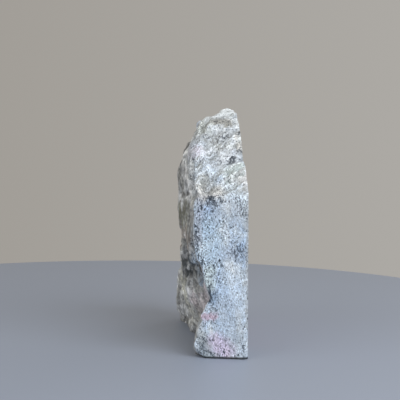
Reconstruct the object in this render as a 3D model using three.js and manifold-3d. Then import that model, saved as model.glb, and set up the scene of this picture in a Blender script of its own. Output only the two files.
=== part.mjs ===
// A polished slab of tugtupite rock, standing on its sawn base. It is one stone.
// Millimetres, +Z up. +X is the polished face's normal, -Y the trimmed front end and -X the rough
// natural side. The origin is the middle of the bounding box at the height of the base.
//
// The stone is three convex lumps grown into one. Each lump starts as a block and is split along
// the planes that the saw, the lap and the natural breaks left, the way a rough stone is trimmed.
import * as THREE from "three";
import { mergeVertices } from "three/addons/utils/BufferGeometryUtils.js";
import Module from "manifold-3d";

const wasm = await Module();
wasm.setup();

// Driving sizes.
const height = 140;
const depth = 122;
const thickness = 31;

const polishedX = thickness / 2; // the lapped face
const roughX = -thickness / 2; // the furthest bulge of the natural side
const frontY = -depth / 2;
const backY = depth / 2;
const shoulderZ = 93; // the trimmed front end stops here, and the stone narrows to its tip
const rubbedEdge = 2; // width of the worn edge between the polish and the front end

// A split is a plane through a point. The waste lies on the side that it faces: bearing is the
// compass direction of that side seen from above, counted in degrees from +X towards +Y, and rise
// tips it up towards +Z.
function split(through, bearing, rise) {
  const turn = THREE.MathUtils.degToRad(bearing);
  const tip = THREE.MathUtils.degToRad(rise);
  return {
    through: new THREE.Vector3(...through),
    away: new THREE.Vector3(
      Math.cos(turn) * Math.cos(tip),
      Math.sin(turn) * Math.cos(tip),
      Math.sin(tip),
    ),
  };
}

// The front end is trimmed at a slant, so its edge with the polish is sharper than a right angle.
const trimmedFront = split([polishedX - rubbedEdge, frontY, 0], 254, 0);

// The body of the slab: from the polished face to the rough side, over the full height.
const slabSplits = [
  trimmedFront,
  split([polishedX - rubbedEdge, frontY, 0], 300, 0), // the rubbed edge
  // The upper break: two steps that lean back from the shoulder to the tip.
  split([-5, -57.5, shoulderZ], 260, 41),
  split([-3, -37.5, shoulderZ + 24], 261, 50),
  // The crown, which falls from the tip to the rough side, and its chipped corner.
  split([13.5, -10.5, height], 141, 85),
  split([10, -10, height - 0.4], 161, 68),
  split([polishedX - 1, -11, height - 1], 344, 50),
  split([-6.5, -10, 133], 170, 25),
  split([-11.5, -7.5, 120.5], 180, 14),
  // The rough side: it thickens backwards from the front end, and leans in under the waist.
  split([-15.4, 23, 77], 181, 0),
  split([-14.3, -54, 77], 183, -4),
  split([-13.2, -53, 61], 192, -19),
  split([-16.1, 3, 60], 173, -4),
  split([-13, 34, 104], 163, 19),
  split([-12, 56, 60], 136, 0),
  // The back: it leans out from the base, then breaks inwards in steps up to the crown.
  split([polishedX, 51.5, 0], 68, -13),
  split([9, 59, 42], 80, 9),
  split([8, 50.5, 84], 86, 33),
  split([6, 32, 112], 91, 45),
  split([7.5, 12.5, 132.5], 106, 66),
  split([-6.5, 47.5, 82], 130, 25),
];

// The foot: the low front corner that stands out under the hollow of the rough side.
const footSplits = [
  trimmedFront,
  split([-14.7, -54.5, 5.6], 169, 12),
  split([-14.7, -54.5, 5.6], 170, -18),
  split([-12, -55.5, 21], 166, 30),
  split([-12.5, -51, 1.4], 196, -40),
  split([-7, -24, 10], 117, 9),
];

// The skirt: the low swell at the far end of the rough side.
const skirtSplits = [
  split([-12.8, 53, 15], 191, -12),
  split([-12.8, 53, 15], 185, 3),
  split([-11.5, 51, 34], 184, 35),
  split([-9.5, 61, 10], 65, 6),
  split([-7.5, 56.5, 32], 89, 27),
  split([-10, 59, 10], 125, 5),
];

// A closed three.js geometry as a solid that can be cut and joined.
function solidOf(geometry) {
  geometry.deleteAttribute("normal");
  geometry.deleteAttribute("uv");
  const merged = mergeVertices(geometry);
  return new wasm.Manifold(
    new wasm.Mesh({
      numProp: 3,
      vertProperties: merged.attributes.position.array,
      triVerts: new Uint32Array(merged.index.array),
    }),
  );
}

function geometryOf(solid) {
  const mesh = solid.getMesh();
  const geometry = new THREE.BufferGeometry();
  geometry.setAttribute(
    "position",
    new THREE.BufferAttribute(new Float32Array(mesh.vertProperties), 3),
  );
  geometry.setIndex(new THREE.BufferAttribute(new Uint32Array(mesh.triVerts), 1));
  return geometry;
}

// A block that fills the box from its low corner to its high corner.
function block([lowX, lowY, lowZ], [highX, highY, highZ]) {
  return solidOf(
    new THREE.BoxGeometry(highX - lowX, highY - lowY, highZ - lowZ).translate(
      (lowX + highX) / 2,
      (lowY + highY) / 2,
      (lowZ + highZ) / 2,
    ),
  );
}

// What is left of a solid after one split: a waste block, far larger than the stone, lies against
// the plane and is taken off.
function splitOff(solid, { through, away }) {
  const wasteSize = 4 * height;
  const waste = new THREE.BoxGeometry(wasteSize, wasteSize, wasteSize)
    .translate(0, 0, wasteSize / 2)
    .applyQuaternion(
      new THREE.Quaternion().setFromUnitVectors(new THREE.Vector3(0, 0, 1), away),
    )
    .translate(through.x, through.y, through.z);
  return solid.subtract(solidOf(waste));
}

const slab = slabSplits.reduce(
  splitOff,
  block([roughX, frontY, 0], [polishedX, backY, height]),
);
const foot = footSplits.reduce(
  splitOff,
  block([roughX, frontY, 0], [polishedX - rubbedEdge, -10, 36]),
);
const skirt = skirtSplits.reduce(splitOff, block([roughX, 14, 0], [5, backY, 52]));

const stoneGeometry = geometryOf(slab.add(foot).add(skirt)).toNonIndexed();
stoneGeometry.computeVertexNormals();

const stoneMaterial = new THREE.MeshStandardMaterial({
  color: 0xb9c3cc,
  roughness: 0.7,
  metalness: 0,
});

const stone = new THREE.Mesh(stoneGeometry, stoneMaterial);
stone.name = "tugtupite";

const polishedTugtupite = new THREE.Group();
polishedTugtupite.add(stone);

export default polishedTugtupite;
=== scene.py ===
# A polished slab of tugtupite rock, standing on a round table top.
# Metres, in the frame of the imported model: +X is the polished face's normal, -Y the trimmed front
# end, -X the rough natural side, and the stone stands on Z = 0.
from math import cos, radians, sin

import bpy
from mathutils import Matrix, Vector


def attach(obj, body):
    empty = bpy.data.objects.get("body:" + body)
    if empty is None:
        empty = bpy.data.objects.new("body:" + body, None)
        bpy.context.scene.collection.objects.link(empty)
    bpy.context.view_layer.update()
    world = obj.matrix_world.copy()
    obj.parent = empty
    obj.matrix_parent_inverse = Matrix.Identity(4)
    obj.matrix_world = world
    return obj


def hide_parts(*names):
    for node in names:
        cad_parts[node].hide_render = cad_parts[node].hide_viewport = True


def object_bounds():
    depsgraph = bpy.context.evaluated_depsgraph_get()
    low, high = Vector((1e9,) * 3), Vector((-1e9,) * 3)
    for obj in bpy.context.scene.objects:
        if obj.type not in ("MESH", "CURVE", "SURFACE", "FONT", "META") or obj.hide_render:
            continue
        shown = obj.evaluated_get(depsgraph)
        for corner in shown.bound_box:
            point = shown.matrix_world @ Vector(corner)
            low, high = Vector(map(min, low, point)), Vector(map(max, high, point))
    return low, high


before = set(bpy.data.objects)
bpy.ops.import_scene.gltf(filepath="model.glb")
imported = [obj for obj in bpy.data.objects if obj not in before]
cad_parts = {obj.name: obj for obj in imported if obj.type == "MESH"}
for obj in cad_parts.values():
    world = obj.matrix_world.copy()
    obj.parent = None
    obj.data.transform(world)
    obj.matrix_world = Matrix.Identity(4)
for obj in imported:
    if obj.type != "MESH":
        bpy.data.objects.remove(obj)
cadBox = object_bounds()
mm = 0.001
near = 0.01 * mm  # places closer than this are the same place


def toLinear(hexColour):  # sRGB hex to linear RGBA
    shares = [int(hexColour[i:i + 2], 16) / 255 for i in (1, 3, 5)]
    return [s / 12.92 if s <= 0.04045 else ((s + 0.055) / 1.055) ** 2.4 for s in shares] + [1]


def facing(bearing, rise=0):  # a direction: degrees round from +X towards +Y, then up
    turn, tip = radians(bearing), radians(rise)
    return Vector((cos(turn) * cos(tip), sin(turn) * cos(tip), sin(tip)))


def looksAlong(normal, direction):  # within about 2.5 degrees
    return normal.dot(direction) > 0.999


# Adds a node. A setting goes to the node itself or to the input of that name or number, and so does
# a link, which comes from a node's first output or from the output given.
def addNode(tree, kind, settings={}, links={}):
    node = tree.nodes.new(kind)
    for key, value in settings.items():
        if key == "stops":  # a colour ramp's pairs of place and colour
            for element, (at, colour) in zip(node.color_ramp.elements, value[:2]):
                element.position, element.color = at, toLinear(colour)
            for at, colour in value[2:]:
                node.color_ramp.elements.new(at).color = toLinear(colour)
        elif isinstance(key, str) and hasattr(node, key):
            setattr(node, key, value)
        else:
            node.inputs[key].default_value = value
    for key, source in links.items():
        if isinstance(source, bpy.types.Node):
            source = source.outputs[0]
        if isinstance(source, bpy.types.NodeSocket):
            tree.links.new(source, node.inputs[key])
        else:  # a number that a running value starts from
            node.inputs[key].default_value = source
    return node


def selectOnly(thing):
    bpy.ops.object.select_all(action="DESELECT")
    thing.select_set(True)
    bpy.context.view_layer.objects.active = thing


# Ends in edit mode, with exactly the faces selected whose middle and normal pass the test.
def selectFaces(thing, test):
    bpy.ops.object.mode_set(mode="EDIT")
    bpy.ops.mesh.select_mode(type="FACE")
    bpy.ops.mesh.select_all(action="DESELECT")
    bpy.ops.object.mode_set(mode="OBJECT")
    for face in thing.data.polygons:
        face.select = test(face.center, face.normal)
    bpy.ops.object.mode_set(mode="EDIT")


def addModifier(thing, kind, settings):
    modifier = thing.modifiers.new(kind.lower(), kind)
    for key, value in settings.items():
        setattr(modifier, key, value)
    bpy.ops.object.modifier_apply(modifier=modifier.name)


camera = {
    "lens": 108.4,  # on a 36 mm sensor
    "place": (-93.3 * mm, -722.8 * mm, 160.85 * mm),
    "down": 5.94,  # degrees, and so is turn
    "turn": 7,  # the slab stands turned by this, so that its rough side shows
}
bpy.ops.object.camera_add(
    location=camera["place"],
    rotation=(radians(90 - camera["down"]), 0, radians(-camera["turn"])),
)
eye = bpy.context.object
eye.data.lens = camera["lens"]
bpy.context.scene.camera = eye


# The stone. Facets and ledges are the sizes of the crystals and sheets that such a rock breaks
# along.
stoneShape = {
    "stock": 5 * mm,  # extra rock left on the cut faces until they are cut
    "coarse": 1 * mm,  # faces are this wide until the rock is broken, and then fine
    "fine": 0.64 * mm,
    "lapped": Vector((1, 0, 0)),
    "lapPoint": (cadBox[1].x, 0, 0),
    "sawnBase": Vector((0, 0, -1)),
    "trimmedEnd": facing(254),
    "rubbedEdge": facing(300),
    "trimPoint": (cadBox[1].x - 2 * mm, cadBox[0].y, 0),  # where the end meets the rubbed edge
    "sheets": facing(285, 5),  # the rock splits along sheets that face this way
    # Round the foot of the trimmed end, and between the upper break and the rough side
    "knockedCorners": [
        ((13.5, -61, 0.35), facing(254, -55)),
        ((-11.5, -53.8, 3.5), facing(200, -38)),
        ((14.6, -61, 1.8), facing(300, -35)),
        ((-10, -34, 117.5), facing(214, 34)),
        ((-7.5, -23, 127), facing(205, 42)),
    ],
    "chippedTip": ((12, -14, 138.4), facing(258, 60)),
}
sheetTurn = stoneShape["sheets"].to_track_quat("X", "Z").inverted().to_euler()
# Hollows, and knobs where the depth is below 0: place, reach and depth in millimetres.
dents = [
    ((14.5, -39.5, 117), 3, 1.6),
    ((-15, -30, 54), 9, 1.2),
    ((-14, -18, 88), 13, 2),
    ((-16, 30, 62), 16, 2.5),
    ((-8, -52, 97), 7, 1.3),
    ((14, -13, 139), 11, -2.6),
    ((-2, -14, 135), 8, -2.2),
    ((-13.5, -25, 116), 10, -3.2),
    ((-3, -56, 40), 16, -4.5),
    ((-7, -55, 68), 14, -1.5),
]


def blockOut():
    shape = stoneShape
    stone = bpy.data.objects.new("tugtupiteStone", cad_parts["tugtupite"].data.copy())
    bpy.context.scene.collection.objects.link(stone)
    selectOnly(stone)
    bpy.ops.object.mode_set(mode="EDIT")
    bpy.ops.mesh.select_all(action="SELECT")
    bpy.ops.mesh.remove_doubles(threshold=near)
    bpy.ops.mesh.dissolve_limited(angle_limit=radians(0.5))
    for sides, way in (
        ((shape["trimmedEnd"], shape["rubbedEdge"]), facing(270)),
        ((shape["lapped"],), shape["lapped"]),
        ((shape["sawnBase"],), shape["sawnBase"]),
    ):
        selectFaces(stone, lambda middle, normal: any(looksAlong(normal, side) for side in sides))
        bpy.ops.mesh.extrude_region_move(TRANSFORM_OT_translate={"value": way * shape["stock"]})
    bpy.ops.object.mode_set(mode="OBJECT")
    addModifier(stone, "REMESH", {"mode": "VOXEL", "voxel_size": shape["coarse"]})
    return stone


# A place turned so that the sheets lie across X and dip down Z, and let wander a little.
def addSheetPlace(tree, place, size, wander):
    noise = addNode(tree, "ShaderNodeTexNoise", {"Scale": 1 / size, "Detail": 3}, {"Vector": place})
    drift = addNode(tree, "ShaderNodeVectorMath", {"operation": "MULTIPLY_ADD",
                    1: (wander, wander, wander)}, {0: noise.outputs["Color"], 2: place})
    return addNode(tree, "ShaderNodeVectorRotate", {"rotation_type": "EULER_XYZ",
                   "Rotation": sheetTurn}, {"Vector": drift})


# The height of flat facets, each tipped its own way by up to the slope, so that two of them meet in
# a step, which the blend softens. Press says how much thinner they are across the sheets, and
# length how much longer down them.
def addFacets(tree, sheetPlace, size, slope, blend=0.15, press=1.3, length=1.2):
    pressed = addNode(tree, "ShaderNodeVectorMath", {"operation": "MULTIPLY",
                      1: (press, 1, 1 / length)}, {0: sheetPlace})
    cells = addNode(tree, "ShaderNodeTexVoronoi", {"feature": "SMOOTH_F1", "Smoothness": blend,
                    "Scale": 1 / size}, {"Vector": pressed})
    along = addNode(tree, "ShaderNodeVectorMath", {"operation": "SUBTRACT"},
                    {0: pressed, 1: cells.outputs["Position"]})
    tip = addNode(tree, "ShaderNodeVectorMath", {"operation": "MULTIPLY_ADD",
                  1: (2 * slope,) * 3, 2: (-slope,) * 3}, {0: cells.outputs["Color"]})
    height = addNode(tree, "ShaderNodeVectorMath", {"operation": "DOT_PRODUCT"},
                     {0: along, 1: tip})
    return height.outputs["Value"]


# The height of round grains.
def addGrains(tree, sheetPlace, size, height):
    cells = addNode(tree, "ShaderNodeTexVoronoi", {"Scale": 1 / size}, {"Vector": sheetPlace})
    return addNode(tree, "ShaderNodeMath", {"operation": "MULTIPLY_ADD", 1: -height,
                   2: height / 2}, {0: cells})


def addSum(tree, parts):
    total = parts[0]
    for part in parts[1:]:
        total = addNode(tree, "ShaderNodeMath", {"operation": "ADD"}, {0: total, 1: part})
    return total


def addDents(tree, place):
    depths = []
    for middle, reach, depth in dents:
        away = addNode(tree, "ShaderNodeVectorMath", {"operation": "DISTANCE",
                       1: Vector(middle) * mm}, {0: place})
        depths.append(addNode(tree, "ShaderNodeMapRange", {"interpolation_type": "SMOOTHSTEP",
                      "From Min": 0, "From Max": reach * mm, "To Min": -depth * mm, "To Max": 0},
                      {"Value": away.outputs["Value"]}))
    return addSum(tree, depths)


def startTree(name):
    tree = bpy.data.node_groups.new(name, "GeometryNodeTree")
    tree.interface.new_socket("Geometry", in_out="INPUT", socket_type="NodeSocketGeometry")
    tree.interface.new_socket("Geometry", in_out="OUTPUT", socket_type="NodeSocketGeometry")
    return tree


# Moves every point by the height, the way the surface round it faces, and applies that.
def pushOut(tree, stone, geometry, height):
    normal = addNode(tree, "GeometryNodeInputNormal")
    normal = addNode(tree, "GeometryNodeBlurAttribute", {"data_type": "FLOAT_VECTOR",
                     "Iterations": 6}, {"Value": normal})
    offset = addNode(tree, "ShaderNodeVectorMath", {"operation": "SCALE"},
                     {0: normal, "Scale": height})
    moved = addNode(tree, "GeometryNodeSetPosition", {}, {"Geometry": geometry, "Offset": offset})
    addNode(tree, "NodeGroupOutput", {}, {0: moved})
    addModifier(stone, "NODES", {"node_group": tree})


# One on the natural side, where the sheets end, falling to none where the rock split along them.
def addNatural(tree):
    normal = addNode(tree, "GeometryNodeInputNormal")
    broad = addNode(tree, "GeometryNodeBlurAttribute", {"data_type": "FLOAT_VECTOR",
                    "Iterations": 10}, {"Value": normal})
    sideways = addNode(tree, "ShaderNodeVectorMath", {"operation": "DOT_PRODUCT",
                       1: facing(180)}, {0: broad})
    return addNode(tree, "ShaderNodeMapRange", {"From Min": 0.35, "From Max": 0.75},
                   {"Value": sideways.outputs["Value"]})


def breakFaces(stone):
    tree = startTree("breakFaces")
    start = addNode(tree, "NodeGroupInput")
    place = addNode(tree, "GeometryNodeInputPosition")
    sheetPlace = addSheetPlace(tree, place, 30 * mm, 3 * mm)
    chips = addSum(tree, [
        addFacets(tree, sheetPlace, 32 * mm, 0.22, 0.3),
        addFacets(tree, sheetPlace, 14 * mm, 0.2, 0.25),
        addFacets(tree, sheetPlace, 6.5 * mm, 0.13, 0.25),
    ])
    splinters = addSum(tree, [
        addFacets(tree, sheetPlace, 26 * mm, 0.15, 0.3),
        addFacets(tree, sheetPlace, 13 * mm, 0.14, 0.2, press=2.4, length=1.6),
        addFacets(tree, sheetPlace, 7 * mm, 0.12, 0.2, press=3, length=1.6),
    ])
    natural = addNatural(tree)
    broken = addNode(tree, "ShaderNodeMix", {}, {0: natural, 2: splinters, 3: chips})
    depth = addSum(tree, [broken, addDents(tree, place)])
    # What would stand out of the rough side is flat: there the rock parted along an open joint
    across = addNode(tree, "ShaderNodeSeparateXYZ", {}, {0: place})
    limit = addNode(tree, "ShaderNodeMapRange", {"From Min": cadBox[0].x,
                    "From Max": cadBox[0].x + 4 * mm, "To Min": 0.1 * mm, "To Max": 1.6 * mm},
                    {"Value": across})
    flat = addNode(tree, "ShaderNodeMath", {"operation": "SMOOTH_MIN", 2: 0.8 * mm},
                   {0: depth, 1: limit})
    pushOut(tree, stone, start, flat)
    addModifier(stone, "SMOOTH", {"factor": 0.5, "iterations": 2})


# One on the trimmed end and the rubbed edge beside it, falling to none on broken rock.
def addTrimmed(tree, place):
    depths = []
    for normal in (stoneShape["trimmedEnd"], stoneShape["rubbedEdge"]):
        outward = addNode(tree, "ShaderNodeVectorMath", {"operation": "DOT_PRODUCT", 1: normal},
                          {0: place})
        depths.append(addNode(tree, "ShaderNodeMath", {"operation": "SUBTRACT",
                      0: Vector(stoneShape["trimPoint"]).dot(normal)},
                      {1: outward.outputs["Value"]}))
    closest = addNode(tree, "ShaderNodeMath", {"operation": "MINIMUM"},
                      {0: depths[0], 1: depths[1]})
    return addNode(tree, "ShaderNodeMapRange", {"From Min": 0.3 * mm, "From Max": 0.9 * mm,
                   "To Min": 1, "To Max": 0}, {"Value": closest})


def breakGrains(stone):
    tree = startTree("breakGrains")
    start = addNode(tree, "NodeGroupInput")
    place = addNode(tree, "GeometryNodeInputPosition")
    sheetPlace = addSheetPlace(tree, place, 8 * mm, 0.8 * mm)
    splinters = addSum(tree, [
        addFacets(tree, sheetPlace, 5 * mm, 0.13, press=3, length=2),
        addFacets(tree, sheetPlace, 2.4 * mm, 0.12, press=2),
    ])
    chips = addSum(tree, [
        addFacets(tree, sheetPlace, 4 * mm, 0.13),
        addFacets(tree, sheetPlace, 2 * mm, 0.13),
    ])
    natural = addNatural(tree)
    broken = addNode(tree, "ShaderNodeMix", {}, {0: natural, 2: splinters, 3: chips})
    sawn = addSum(tree, [
        addGrains(tree, sheetPlace, 2.2 * mm, 0.1 * mm),
        addFacets(tree, sheetPlace, 8 * mm, 0.02),
    ])
    trimmed = addTrimmed(tree, place)
    height = addNode(tree, "ShaderNodeMix", {}, {0: trimmed, 2: broken, 3: sawn})
    pushOut(tree, stone, start, height)


# Stores where the surface stands proud or lies low, where it is weathered and where it is trimmed.
# The natural side is the most weathered. The crown and the rock next to the trimmed end broke
# later, and are fresher.
def markSurface(stone):
    tree = startTree("markSurface")
    geometry = addNode(tree, "NodeGroupInput")
    place = addNode(tree, "GeometryNodeInputPosition")
    normal = addNode(tree, "GeometryNodeInputNormal")
    around = addNode(tree, "GeometryNodeBlurAttribute", {"data_type": "FLOAT_VECTOR",
                     "Iterations": 10}, {"Value": place})
    above = addNode(tree, "ShaderNodeVectorMath", {"operation": "SUBTRACT"}, {0: place, 1: around})
    proud = addNode(tree, "ShaderNodeVectorMath", {"operation": "DOT_PRODUCT"},
                    {0: above, 1: normal})
    broad = addNode(tree, "GeometryNodeBlurAttribute", {"data_type": "FLOAT_VECTOR",
                    "Iterations": 30}, {"Value": normal})
    weathered = addNode(tree, "ShaderNodeVectorMath", {"operation": "DOT_PRODUCT",
                        1: facing(170)}, {0: broad})
    outward = addNode(tree, "ShaderNodeVectorMath", {"operation": "DOT_PRODUCT",
                      1: stoneShape["trimmedEnd"]}, {0: place})
    endPlane = Vector(stoneShape["trimPoint"]).dot(stoneShape["trimmedEnd"])
    fresh = addNode(tree, "ShaderNodeMapRange", {"From Min": endPlane - 14 * mm,
                    "From Max": endPlane, "To Min": 0, "To Max": -0.4},
                    {"Value": outward.outputs["Value"]})
    upward = addNode(tree, "ShaderNodeVectorMath", {"operation": "DOT_PRODUCT",
                     1: facing(235, 50)}, {0: place})
    crown = addNode(tree, "ShaderNodeMapRange", {"From Min": 92 * mm, "From Max": 105 * mm,
                    "To Min": 0, "To Max": -0.6}, {"Value": upward.outputs["Value"]})
    skin = addSum(tree, [weathered.outputs["Value"], fresh, crown])
    trimmed = addTrimmed(tree, place)
    for name, value in (("proud", proud.outputs["Value"]), ("weathered", skin),
                        ("trimmed", trimmed)):
        geometry = addNode(tree, "GeometryNodeStoreNamedAttribute", {"data_type": "FLOAT",
                           "domain": "POINT", "Name": name}, {"Geometry": geometry, "Value": value})
    addNode(tree, "NodeGroupOutput", {}, {0: geometry})
    addModifier(stone, "NODES", {"node_group": tree})


# Takes off what lies beyond a plane, with a block as the saw, and leaves a flat face there.
def cutOff(stone, through, away):
    size = 4 * cadBox[1].z  # past the stone on every side
    bpy.ops.mesh.primitive_cube_add(size=size, location=Vector(through) + away * size / 2,
                                    rotation=away.to_track_quat("Z", "Y").to_euler())
    saw = bpy.context.object
    selectOnly(stone)
    addModifier(stone, "BOOLEAN", {"object": saw, "solver": "MANIFOLD"})
    bpy.data.objects.remove(saw)


stone = blockOut()
print("blocked out", len(stone.data.polygons))
breakFaces(stone)
cutOff(stone, stoneShape["trimPoint"], stoneShape["trimmedEnd"])
cutOff(stone, stoneShape["trimPoint"], stoneShape["rubbedEdge"])
for through, away in stoneShape["knockedCorners"]:
    cutOff(stone, Vector(through) * mm, away)
addModifier(stone, "REMESH", {"mode": "VOXEL", "voxel_size": stoneShape["fine"]})
print("faces broken and front end trimmed", len(stone.data.polygons))
breakGrains(stone)
markSurface(stone)
# Flat triangles first: a bent face with four corners leaves a folded sliver where it is cut
addModifier(stone, "TRIANGULATE", {"quad_method": "FIXED"})
tip, away = stoneShape["chippedTip"]
cutOff(stone, Vector(tip) * mm, away)
cutOff(stone, (0, 0, 0), stoneShape["sawnBase"])
cutOff(stone, stoneShape["lapPoint"], stoneShape["lapped"])
print("cut and lapped", len(stone.data.polygons))

# What the rock is made of. Each zone is a patch or vein with a colour of its own: its start, end
# and reach in millimetres, its colour and how far it covers the ground.
zones = [
    ((-7, -54, 90), (-6, -55, 77), 6, "#92aac8", 0.65),
    ((-6, -55, 74), (-5, -55, 58), 7, "#c6dcea", 0.5),
    ((2, -57, 60), (13, -60, 61), 4.5, "#93a5bd", 0.5),
    ((5, -57, 97), (12, -60, 93), 6, "#e0ecf5", 0.75),
    ((-2, -56, 48), (10, -59, 36), 8, "#cbdcee", 0.5),
    ((2, -57, 29), (9, -59, 20), 8, "#b9c3cd", 0.5),
    ((4, -58, 88), (10, -59.5, 82), 6, "#a7b1bc", 0.45),
    ((8, -59, 9), (14, -60.5, 3), 5, "#a8b3c0", 0.5),
    ((-11, -54, 92), (-12.5, -53.4, 66), 2.2, "#a9abb5", 0.5),
    ((14.8, -60, 100), (14.8, -60, 20), 1.3, "#a6aaac", 0.75),
    ((14, -30, 125), (14.5, -42, 115), 2.2, "#eeece8", 0.85),
    ((14, -57, 98), (14.5, -52, 104), 3, "#c4c2bf", 0.7),
    ((-10, -54, 24), (-3.4, -56, 24.4), 2.1, "#d2a8ba", 0.6),
    ((-2, -56.5, 9), (2.5, -57, 5), 5.5, "#d3b7d4", 0.55),
    ((-9, -54, 11), (-7, -54, 2), 4, "#929a9c", 0.65),
    ((-4, -55, 37), (-4, -55, 34), 3, "#8297ae", 0.7),
    ((-6, -55, 51), (-6, -55, 42), 3.5, "#c6d3cf", 0.65),
    ((-2, -22, 132), (10, -26, 124), 17, "#dbd9d1", 0.6),
    ((-1, -41, 112), (10, -39, 114), 5, "#bcc3cd", 0.5),
    ((-9, -53, 95), (-2, -55, 96), 5, "#d3cec4", 0.7),
    ((11, -14, 139), (13, -11, 140), 5.5, "#e4e9e9", 0.85),
    ((1, -20.5, 133.5), (9, -22.5, 132.5), 3.4, "#8f8878", 0.65),
    ((-13, -21, 115), (-9, -35, 117), 3.5, "#e6e3ee", 0.85),
    ((-6, -16, 131), (-4, -20, 128), 5, "#e1e6df", 0.7),
    ((-7, -35, 117), (2, -36, 118.5), 1.8, "#f0f2f7", 0.5),
    ((-9, -38, 113), (-4, -36, 118), 3, "#e6ebf2", 0.7),
    ((6, -48.2, 105.3), (14, -47, 110.3), 2.6, "#a9b7b2", 0.6),
    ((5, -51.8, 100.5), (13.7, -51.1, 106.1), 1, "#6c7975", 0.7),
    ((6.5, -45, 109.5), (11, -40, 112), 2.4, "#9aa1a4", 0.5),
]
# Where dark crystals crowd together: start, end and reach in millimetres, and what is added to each
# crystal's chance to be a dark one.
clusters = [
    ((-7.3, -54.9, 92.4), (-6.5, -55, 90), 1.2, 0.3),
    ((-4.5, -56, 91.6), (-3, -56, 88.5), 1.6, 0.5),
    ((0.2, -57.2, 91), (1.4, -57.4, 89.6), 1.3, 0.4),
    ((10, -60, 92), (12, -60.5, 84), 2.4, 0.12),
    ((-13.3, -53.2, 76), (-12.4, -53.5, 59.5), 1.1, 0.4),
    ((-11.2, -53.9, 88), (-12.3, -53.5, 76), 1.3, 0.12),
    ((-10.8, -54.1, 57.5), (-10.2, -54.2, 54.5), 1.2, 0.5),
    ((0.3, -57.2, 55.2), (0.6, -57.2, 54), 0.9, 0.5),
    ((8, -59.6, 60), (14.8, -60.8, 61.5), 1.6, 0.2),
    ((-6, -55.4, 40.5), (-5.8, -55.4, 33), 1.4, 0.6),
    ((-4.2, -56, 42), (-3.8, -56, 37), 1.6, 0.2),
    ((-11.2, -53.8, 8), (-10.2, -54, 4.5), 1, 0.2),
    ((-7.5, -54.8, 4.5), (-5.5, -55.4, 3), 1.2, 0.25),
    ((13, -60.5, 7), (13.3, -60.5, 5.6), 1.2, 0.45),
    ((7, -44, 109.9), (9.5, -39.5, 112.5), 2, 0.55),
    ((13, -36.8, 117.7), (14.8, -37, 117), 1.4, 0.5),
    ((14.8, -29, 127.1), (14.2, -29, 126.6), 1.2, 0.5),
    ((2, -20.5, 133.5), (5.5, -21, 133.3), 1.2, 0.3),
    ((-4, -27, 125.5), (-1.5, -28, 124.5), 1.2, 0.25),
    ((0, -30, 123), (2, -30.5, 122), 1.2, 0.25),
    ((3.5, -30, 124.5), (8, -30, 124.8), 1.3, 0.25),
    ((-14, -30, 112.5), (-8, -39, 112), 1.2, 0.3),
]
# Large crystals that broke with one bright smooth face: start, end and reach in millimetres.
cleaved = [
    ((0, -14.5, 135.8), (14, -11, 139), 3.6),
    ((14.6, -33, 122), (14.8, -31, 124.5), 1.6),
]
# Stains in the weathered skin of the rough side, listed like the zones: olive, brown and pale, and
# two dark ones that are painted shade, one over the hollow low on the natural side and one along
# its upper rim where that side turns away.
stainsAndPaintedShade = [
    ((-15, -14, 76), (-15, 30, 74), 8, "#74725b", 0.9),
    ((-14, -32, 66), (-15, 30, 62), 6, "#75665a", 0.75),
    # painted shade: near black over the hollow low on the natural side
    ((-12.5, -40, 57), (-13, -3, 44), 10, "#1f2322", 0.95),
    ((-11, -53, 55), (-7, -51, 36), 4, "#cbc0c6", 0.8),
    ((-15, 0, 27), (-14, 36, 26), 8, "#bcb9a3", 0.7),
    ((-11, -52, 34), (-9, -18, 25), 8, "#cbbfbf", 0.75),
    ((-14, -20, 98), (-13, 0, 112), 12, "#cfcfcc", 0.65),
    # painted shade: dark along the upper rim of the natural side, where it turns away
    ((-15, 14, 103), (-11, 16, 118), 4, "#403f3b", 0.85),
    ((-12, -45, 18), (-10, 20, 12), 8, "#bfbdb2", 0.7),
]


# The share inside a patch that runs from a start to an end, falling to none over the edge, which is
# a share of the reach.
def addPatch(tree, place, start, end, reach, share, edge):
    run = (Vector(end) - Vector(start)) * mm
    offset = addNode(tree, "ShaderNodeVectorMath", {"operation": "SUBTRACT",
                     1: Vector(start) * mm}, {0: place})
    along = addNode(tree, "ShaderNodeVectorMath", {"operation": "DOT_PRODUCT",
                    1: run / run.length_squared}, {0: offset})
    # Held between the ends by two nodes: a clamped one would overflow the renderer's node memory
    held = addNode(tree, "ShaderNodeMath", {"operation": "MINIMUM", 1: 1},
                   {0: along.outputs["Value"]})
    held = addNode(tree, "ShaderNodeMath", {"operation": "MAXIMUM", 1: 0}, {0: held})
    nearest = addNode(tree, "ShaderNodeVectorMath", {"operation": "SCALE", 0: run}, {"Scale": held})
    away = addNode(tree, "ShaderNodeVectorMath", {"operation": "DISTANCE"},
                   {0: offset, 1: nearest})
    return addNode(tree, "ShaderNodeMapRange", {"interpolation_type": "SMOOTHSTEP",
                   "From Min": reach * (1 - edge) * mm, "From Max": reach * (1 + edge) * mm,
                   "To Min": share, "To Max": 0}, {"Value": away.outputs["Value"]})


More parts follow.
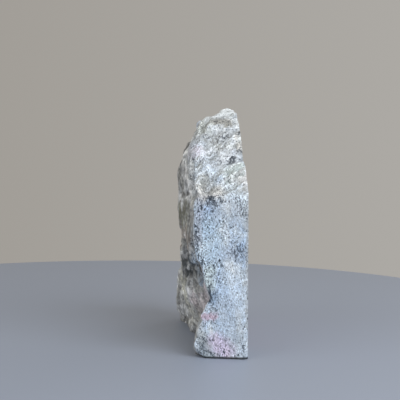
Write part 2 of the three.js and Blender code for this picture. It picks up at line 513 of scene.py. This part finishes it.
# Mixed crystals of white albite, pale blue sodalite, pink tugtupite and black aegirine, drawn out
# along the sheets of the rock. They are drawn about twice as coarse as the finest real ones.
def buildMinerals():
    tree = bpy.data.node_groups.new("minerals", "ShaderNodeTree")
    for name, kind in (("Colour", "NodeSocketColor"), ("Broad", "NodeSocketColor"),
                       ("Grain", "NodeSocketFloat"), ("Threads", "NodeSocketFloat")):
        tree.interface.new_socket(name, in_out="OUTPUT", socket_type=kind)
    place = addNode(tree, "ShaderNodeTexCoord").outputs["Object"]
    sheetPlace = addSheetPlace(tree, place, 25 * mm, 2.5 * mm)
    drawnOut = (1.9, 1, 0.7)  # narrower across the sheets and longer down them
    pressed = addNode(tree, "ShaderNodeVectorMath", {"operation": "MULTIPLY", 1: drawnOut},
                      {0: sheetPlace})
    # Zones end in a ragged way, crystal by crystal
    ragged = addNode(tree, "ShaderNodeTexNoise", {"Scale": 1 / (3 * mm), "Detail": 4},
                     {"Vector": pressed})
    astray = 3.5 * mm
    raggedPlace = addNode(tree, "ShaderNodeVectorMath", {"operation": "MULTIPLY_ADD",
                          1: (2 * astray,) * 3}, {0: ragged.outputs["Color"], 2: place})
    zonePlace = addNode(tree, "ShaderNodeVectorMath", {"operation": "SUBTRACT",
                        1: (astray,) * 3}, {0: raggedPlace})
    cloud = addNode(tree, "ShaderNodeTexNoise", {"Scale": 1 / (20 * mm), "Detail": 6,
                    "Roughness": 0.65}, {"Vector": pressed})
    colour = addNode(tree, "ShaderNodeValToRGB", {"stops": [(0.36, "#afc4dc"), (0.64, "#e4e8e8"),
                     (0.5, "#cad6e1")]}, {0: cloud}).outputs["Color"]
    for start, end, reach, hue, share in zones:
        patch = addPatch(tree, zonePlace, start, end, reach, share, 0.65)
        colour = addNode(tree, "ShaderNodeMix", {"data_type": "RGBA", 7: toLinear(hue)},
                         {0: patch, 6: colour}).outputs[2]
    # Lenses of pink tugtupite, crystal by crystal. They fade out towards the trimmed end, the upper
    # break and the natural side
    crystal = addNode(tree, "ShaderNodeTexVoronoi", {"Scale": 1 / (2.4 * mm)}, {"Vector": pressed})
    lens = addNode(tree, "ShaderNodeTexNoise", {"Scale": 1 / (30 * mm), "Detail": 3},
                   {"Vector": crystal.outputs["Position"]})
    pink = addNode(tree, "ShaderNodeMapRange", {"From Min": 0.48, "From Max": 0.64},
                   {"Value": lens})
    for direction, farthest in ((facing(270), 47 * mm), (facing(261, 45), 101 * mm),
                                (facing(180), 8 * mm)):
        outward = addNode(tree, "ShaderNodeVectorMath", {"operation": "DOT_PRODUCT",
                          1: direction}, {0: place})
        within = addNode(tree, "ShaderNodeMapRange", {"From Min": farthest - 9 * mm,
                         "From Max": farthest, "To Min": 1, "To Max": 0},
                         {"Value": outward.outputs["Value"]})
        pink = addNode(tree, "ShaderNodeMath", {"operation": "MULTIPLY"}, {0: pink, 1: within})
    tugtupite = addNode(tree, "ShaderNodeValToRGB", {"stops": [(0.2, "#e8c3cd"),
                        (0.95, "#c0506f"), (0.6, "#d98a9f")]}, {0: pink})
    pinkShare = addNode(tree, "ShaderNodeMapRange", {"From Max": 0.35, "To Max": 0.8},
                        {"Value": pink})
    colour = addNode(tree, "ShaderNodeMix", {"data_type": "RGBA"},
                     {0: pinkShare, 6: colour, 7: tugtupite.outputs["Color"]}).outputs[2]
    shade = addNode(tree, "ShaderNodeMapRange", {"To Min": 0.8, "To Max": 1.15},
                    {"Value": crystal.outputs["Color"]})
    broad = addNode(tree, "ShaderNodeHueSaturation", {}, {"Value": shade, "Color": colour})
    # Crystals of two sizes with frayed outlines, each lighter or darker than its neighbours
    fray = addNode(tree, "ShaderNodeTexNoise", {"Scale": 1 / (0.8 * mm), "Detail": 2},
                   {"Vector": pressed})
    frayed = addNode(tree, "ShaderNodeVectorMath", {"operation": "MULTIPLY_ADD",
                     1: (1.3 * mm,) * 3}, {0: fray.outputs["Color"], 2: pressed})
    for size, least, most in ((1.2 * mm, 0.78, 1.18), (0.5 * mm, 0.45, 1.5)):
        cells = addNode(tree, "ShaderNodeTexVoronoi", {"Scale": 1 / size}, {"Vector": frayed})
        shade = addNode(tree, "ShaderNodeMapRange", {"To Min": least, "To Max": most},
                        {"Value": cells.outputs["Color"]})
        colour = addNode(tree, "ShaderNodeHueSaturation", {}, {"Value": shade, "Color": colour})
    for start, end, reach in cleaved:
        patch = addPatch(tree, zonePlace, start, end, reach, 0.8, 0.25)
        colour = addNode(tree, "ShaderNodeMix", {"data_type": "RGBA", 7: toLinear("#dfe4e4")},
                         {0: patch, 6: colour}).outputs[2]
    # Bands and threads between the sheets
    thin = addNode(tree, "ShaderNodeVectorMath", {"operation": "MULTIPLY",
                   1: (6, 1, 0.5)}, {0: sheetPlace})
    threads = addNode(tree, "ShaderNodeTexNoise", {"Scale": 1 / (12 * mm), "Detail": 6,
                      "Roughness": 0.75}, {"Vector": thin})
    # Black needles and specks, crowded in drifts and towards the natural side
    crowd = addNode(tree, "ShaderNodeTexNoise", {"Scale": 1 / (14 * mm), "Detail": 3},
                    {"Vector": place})
    crowding = 7  # per metre
    naturalward = addNode(tree, "ShaderNodeVectorMath", {"operation": "DOT_PRODUCT",
                          1: facing(180) * crowding}, {0: place})
    crowd = addNode(tree, "ShaderNodeMath", {"operation": "ADD"},
                    {0: crowd, 1: naturalward.outputs["Value"]})
    cluster = 0
    for start, end, reach, share in clusters:
        patch = addPatch(tree, zonePlace, start, end, reach, share, 0.4)
        cluster = addNode(tree, "ShaderNodeMath", {"operation": "MAXIMUM"},
                          {0: cluster, 1: patch})
    dark = 0
    for size, few, many in ((1.6 * mm, 0, 0.003), (0.9 * mm, 0.005, 0.1), (0.5 * mm, 0.05, 0.31)):
        cells = addNode(tree, "ShaderNodeTexVoronoi", {"Scale": 1 / size}, {"Vector": frayed})
        chance = addNode(tree, "ShaderNodeSeparateColor", {}, {0: cells.outputs["Color"]})
        wanted = addNode(tree, "ShaderNodeMapRange", {"From Min": 0.42, "From Max": 0.68,
                         "To Min": few, "To Max": many}, {"Value": crowd})
        wanted = addNode(tree, "ShaderNodeMath", {"operation": "ADD"}, {0: wanted, 1: cluster})
        here = addNode(tree, "ShaderNodeMath", {"operation": "LESS_THAN"},
                       {0: chance.outputs["Green"], 1: wanted})
        deep = addNode(tree, "ShaderNodeMapRange", {"To Min": 0.45, "To Max": 1.2},
                       {"Value": chance.outputs["Blue"]})
        specks = addNode(tree, "ShaderNodeMath", {"operation": "MULTIPLY"}, {0: here, 1: deep})
        dark = addNode(tree, "ShaderNodeMath", {"operation": "MAXIMUM"}, {0: dark, 1: specks})
    cover = addNode(tree, "ShaderNodeMath", {"operation": "MULTIPLY", 1: 0.85}, {0: dark})
    colour = addNode(tree, "ShaderNodeMix", {"data_type": "RGBA", 7: toLinear("#242f3b")},
                     {0: cover, 6: colour}).outputs[2]
    # Painted contact shadow: the colour darkens to a dark line round the foot, where the stone
    # stands on the table
    upright = addNode(tree, "ShaderNodeSeparateXYZ", {}, {0: place})
    paintedContactShadow = addNode(tree, "ShaderNodeMapRange", {"From Min": 0.9 * mm, "From Max": 1.8 * mm,
                    "To Min": 0.12, "To Max": 1}, {"Value": upright.outputs["Z"]})
    colour = addNode(tree, "ShaderNodeHueSaturation", {}, {"Value": paintedContactShadow, "Color": colour})
    grain = addNode(tree, "ShaderNodeTexVoronoi", {"Scale": 1 / (0.9 * mm)}, {"Vector": pressed})
    addNode(tree, "NodeGroupOutput", {}, {"Colour": colour, "Broad": broad, "Grain": grain,
            "Threads": threads})
    return tree


def startMaterial(name):
    material = bpy.data.materials.new(name)
    material.use_nodes = True
    return material, material.node_tree, material.node_tree.nodes["Principled BSDF"]


minerals = buildMinerals()
vitreous = 1.49  # the refractive index of sodalite and tugtupite


# Tugtupite rock, lapped and buffed: calm deep colours with black crystals, under a glassy shine.
def makeLappedRock():
    material, tree, shader = startMaterial("lappedRock")
    rock = addNode(tree, "ShaderNodeGroup", {"node_tree": minerals})
    deep = addNode(tree, "ShaderNodeGamma", {"Gamma": 1.4}, {"Color": rock.outputs["Broad"]})
    place = addNode(tree, "ShaderNodeTexCoord").outputs["Object"]
    sheetPlace = addSheetPlace(tree, place, 25 * mm, 2.5 * mm)
    # Aegirine stands in clusters of black crystals, stout in the middle and thin about the rim
    black = 0
    for size, least in ((2.6 * mm, 0.625), (1.3 * mm, 0.61), (0.8 * mm, 0.59)):
        cells = addNode(tree, "ShaderNodeTexVoronoi", {"Scale": 1 / size}, {"Vector": sheetPlace})
        cluster = addNode(tree, "ShaderNodeTexNoise", {"Scale": 1 / (17 * mm), "Detail": 4,
                          "Roughness": 0.7}, {"Vector": cells.outputs["Position"]})
        chance = addNode(tree, "ShaderNodeMath", {"operation": "MULTIPLY_ADD", 1: 0.14, 2: -0.07},
                         {0: cells.outputs["Color"]})
        total = addNode(tree, "ShaderNodeMath", {"operation": "ADD"}, {0: cluster, 1: chance})
        here = addNode(tree, "ShaderNodeMapRange", {"From Min": least, "From Max": least + 0.03},
                       {"Value": total})
        black = addNode(tree, "ShaderNodeMath", {"operation": "MAXIMUM"}, {0: black, 1: here})
    cover = addNode(tree, "ShaderNodeMath", {"operation": "MULTIPLY", 1: 0.88}, {0: black})
    colour = addNode(tree, "ShaderNodeMix", {"data_type": "RGBA", 7: toLinear("#23292f")},
                     {0: cover, 6: deep})
    tree.links.new(colour.outputs[2], shader.inputs["Base Color"])
    shine = addNode(tree, "ShaderNodeMapRange", {"To Min": 0.08, "To Max": 0.16}, {"Value": black})
    tree.links.new(shine.outputs[0], shader.inputs["Roughness"])
    shader.inputs["IOR"].default_value = vitreous
    return material


# Tugtupite rock, sawn and left: pale and matt, with the crystals bruised by the blade.
def makeSawnRock():
    material, tree, shader = startMaterial("sawnRock")
    rock = addNode(tree, "ShaderNodeGroup", {"node_tree": minerals})
    tree.links.new(rock.outputs["Colour"], shader.inputs["Base Color"])
    bump = addNode(tree, "ShaderNodeBump", {"Strength": 0.6, "Distance": 0.4 * mm},
                   {"Height": rock.outputs["Grain"]})
    tree.links.new(bump.outputs[0], shader.inputs["Normal"])
    shader.inputs["Roughness"].default_value = 0.62
    shader.inputs["IOR"].default_value = vitreous
    return material


# Tugtupite rock, broken: clean pale crystals where fresh, and a dull grey skin of weathering and
# dirt with olive, brown and black stains on the natural side.
def makeBrokenRock():
    material, tree, shader = startMaterial("brokenRock")
    rock = addNode(tree, "ShaderNodeGroup", {"node_tree": minerals})
    place = addNode(tree, "ShaderNodeTexCoord").outputs["Object"]
    # Fresh breaks show the edges of the sheets as pale and grey-green bands
    band = addNode(tree, "ShaderNodeMapRange", {"From Min": 0.3, "From Max": 0.5, "To Min": 0.75,
                   "To Max": 0}, {"Value": rock.outputs["Threads"]})
    banded = addNode(tree, "ShaderNodeMix", {"data_type": "RGBA", 7: toLinear("#a4a59b")},
                     {0: band, 6: rock.outputs["Colour"]})
    streak = addNode(tree, "ShaderNodeMapRange", {"From Min": 0.33, "From Max": 0.65,
                     "To Min": 0.68, "To Max": 1.4}, {"Value": rock.outputs["Threads"]})
    fresh = addNode(tree, "ShaderNodeHueSaturation", {},
                    {"Value": streak, "Color": banded.outputs[2]})
    stain = addNode(tree, "ShaderNodeTexNoise", {"Scale": 1 / (16 * mm), "Detail": 6,
                    "Roughness": 0.68}, {"Vector": place})
    astray = 18 * mm
    warped = addNode(tree, "ShaderNodeVectorMath", {"operation": "MULTIPLY_ADD",
                     1: (2 * astray,) * 3}, {0: stain.outputs["Color"], 2: place})
    warped = addNode(tree, "ShaderNodeVectorMath", {"operation": "SUBTRACT", 1: (astray,) * 3},
                     {0: warped})
    blotch = addNode(tree, "ShaderNodeTexNoise", {"Scale": 1 / (7 * mm), "Detail": 5,
                     "Roughness": 0.7}, {"Vector": place})
    blotched = addNode(tree, "ShaderNodeMapRange", {"From Min": 0.4, "From Max": 0.54,
                       "To Min": 0.3, "To Max": 1}, {"Value": blotch})
    skin = addNode(tree, "ShaderNodeValToRGB", {"stops": [(0.34, "#6b6a65"), (0.66, "#d5d6d6"),
                   (0.44, "#92918b"), (0.54, "#bcbdbc")]}, {0: stain}).outputs["Color"]
    for start, end, reach, hue, share in stainsAndPaintedShade:
        patch = addPatch(tree, warped, start, end, reach, share, 0.5)
        cover = addNode(tree, "ShaderNodeMath", {"operation": "MULTIPLY"}, {0: patch, 1: blotched})
        skin = addNode(tree, "ShaderNodeMix", {"data_type": "RGBA", 7: toLinear(hue)},
                       {0: cover, 6: skin}).outputs[2]
    # The ends of crystals and splinters show through, light and dark
    for size, least, most in ((11 * mm, 0.7, 1.3), (4.5 * mm, 0.7, 1.5), (1.5 * mm, 0.7, 1.5)):
        ends = addNode(tree, "ShaderNodeTexVoronoi", {"Scale": 1 / size}, {"Vector": place})
        shade = addNode(tree, "ShaderNodeMapRange", {"To Min": least, "To Max": most},
                        {"Value": ends.outputs["Color"]})
        skin = addNode(tree, "ShaderNodeHueSaturation", {}, {"Value": shade, "Color": skin})
    weathered = addNode(tree, "ShaderNodeAttribute", {"attribute_name": "weathered"})
    edge = addNode(tree, "ShaderNodeMath", {"operation": "MULTIPLY_ADD", 1: 0.9},
                   {0: stain, 2: weathered.outputs["Fac"]})
    share = addNode(tree, "ShaderNodeMapRange", {"From Min": 0.6, "From Max": 1.1, "To Max": 0.93},
                    {"Value": edge})
    colour = addNode(tree, "ShaderNodeMix", {"data_type": "RGBA"},
                     {0: share, 6: fresh, 7: skin})
    # Painted shade with dirt darkens the hollows, and a painted highlight lightens the ridges, both
    # least where the rock is fresh
    proud = addNode(tree, "ShaderNodeAttribute", {"attribute_name": "proud"})
    darkest = addNode(tree, "ShaderNodeMapRange", {"To Min": 0.72, "To Max": 0.4}, {"Value": share})
    palest = addNode(tree, "ShaderNodeMapRange", {"To Min": 1.08, "To Max": 1.32}, {"Value": share})
    dirtShadeAndRidgeHighlight = addNode(tree, "ShaderNodeMapRange", {"From Min": -0.35 * mm, "From Max": 0.3 * mm},
                   {"Value": proud.outputs["Fac"], "To Min": darkest, "To Max": palest})
    shaded = addNode(tree, "ShaderNodeHueSaturation", {},
                     {"Value": dirtShadeAndRidgeHighlight, "Color": colour.outputs[2]})
    tree.links.new(shaded.outputs[0], shader.inputs["Base Color"])
    matt = addNode(tree, "ShaderNodeMapRange", {"To Min": 0.5, "To Max": 0.85}, {"Value": share})
    tree.links.new(matt.outputs[0], shader.inputs["Roughness"])
    bump = addNode(tree, "ShaderNodeBump", {"Strength": 0.8, "Distance": 0.5 * mm},
                   {"Height": rock.outputs["Grain"]})
    tree.links.new(bump.outputs[0], shader.inputs["Normal"])
    shader.inputs["IOR"].default_value = vitreous
    return material


def inPolish(middle, normal):
    return looksAlong(normal, stoneShape["lapped"]) and middle.x > cadBox[1].x - near


def inBase(middle, normal):
    return looksAlong(normal, stoneShape["sawnBase"]) and middle.z < near


stone.data.materials.clear()
for material in (makeBrokenRock(), makeSawnRock(), makeLappedRock()):
    stone.data.materials.append(material)
broken, sawn, lapped = range(3)
trimmed = stone.data.attributes["trimmed"].data
for face in stone.data.polygons:
    if inPolish(face.center, face.normal):
        face.material_index = lapped
    elif (inBase(face.center, face.normal)
          or min(trimmed[corner].value for corner in face.vertices) > 0.5):
        face.material_index = sawn
    else:
        face.material_index = broken
selectOnly(stone)
bpy.ops.object.shade_smooth_by_angle(angle=radians(40))
selectFaces(stone, lambda middle, normal: inPolish(middle, normal) or inBase(middle, normal))
bpy.ops.mesh.region_to_loop()
bpy.ops.mesh.mark_sharp()
bpy.ops.object.mode_set(mode="OBJECT")
print("rock coloured", len(zones), "zones")

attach(stone, "root")
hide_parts("tugtupite")

table = {"middle": (-72 * mm, -10 * mm), "radius": 330 * mm, "thickness": 22 * mm, "edge": 3 * mm}
bpy.ops.mesh.primitive_cylinder_add(
    vertices=256, radius=table["radius"], depth=table["thickness"],
    location=(*table["middle"], -table["thickness"] / 2))
top = bpy.context.object
top.name = "tableTop"
addModifier(top, "BEVEL", {"width": table["edge"], "segments": 6, "limit_method": "ANGLE"})
bpy.ops.object.shade_smooth_by_angle(angle=radians(40))


# Lacquered board: an even cool grey with a soft sheen.
def makeLacqueredBoard():
    material, tree, shader = startMaterial("lacqueredBoard")
    shader.inputs["Base Color"].default_value = toLinear("#9aa2b0")
    shader.inputs["Roughness"].default_value = 0.45
    return material


top.data.materials.append(makeLacqueredBoard())

scene = bpy.context.scene
scene.view_settings.view_transform = "Standard"
world = bpy.data.worlds.new("room")
scene.world = world
world.use_nodes = True
# The wall: a plain warm grey, lighter towards the window. Reach is the sine of the angle between
# the middle of the view and the place where either colour is full
wall = {"left": "#a29e98", "right": "#aca9a4", "reach": 0.16}
tree = world.node_tree
direction = addNode(tree, "ShaderNodeTexCoord").outputs["Generated"]
rightward = addNode(tree, "ShaderNodeVectorMath", {"operation": "DOT_PRODUCT",
                    1: facing(-camera["turn"])}, {0: direction})
across = addNode(tree, "ShaderNodeMapRange", {"From Min": -wall["reach"],
                 "From Max": wall["reach"]}, {"Value": rightward.outputs["Value"]})
grey = addNode(tree, "ShaderNodeMix", {"data_type": "RGBA", 6: toLinear(wall["left"]),
               7: toLinear(wall["right"])}, {0: across})
tree.links.new(grey.outputs[2], tree.nodes["Background"].inputs["Color"])

# Soft daylight: a large window to the front right, the pale room to the left of it, and behind
# the stone an open doorway that shines in the polish
lights = {
    "window": {"from": facing(-58, 35), "away": 1.2, "size": 1.1, "power": 11.5, "hue": "#f2f7ff"},
    "room": {"from": facing(-150, 25), "away": 1.5, "size": 1.6, "power": 7.6, "hue": "#f2f6fe"},
    "doorway": {"from": facing(40, 22), "away": 1.6, "size": 1, "power": 3, "hue": "#fbfbff"},
}
for name, light in lights.items():
    bpy.ops.object.light_add(type="AREA", location=light["from"] * light["away"],
                             rotation=light["from"].to_track_quat("Z", "Y").to_euler())
    lamp = bpy.context.object
    lamp.name = name
    lamp.data.shape = "DISK"
    lamp.data.size = light["size"]
    lamp.data.energy = light["power"]
    lamp.data.color = toLinear(light["hue"])[:3]
print("table, wall and lights set")
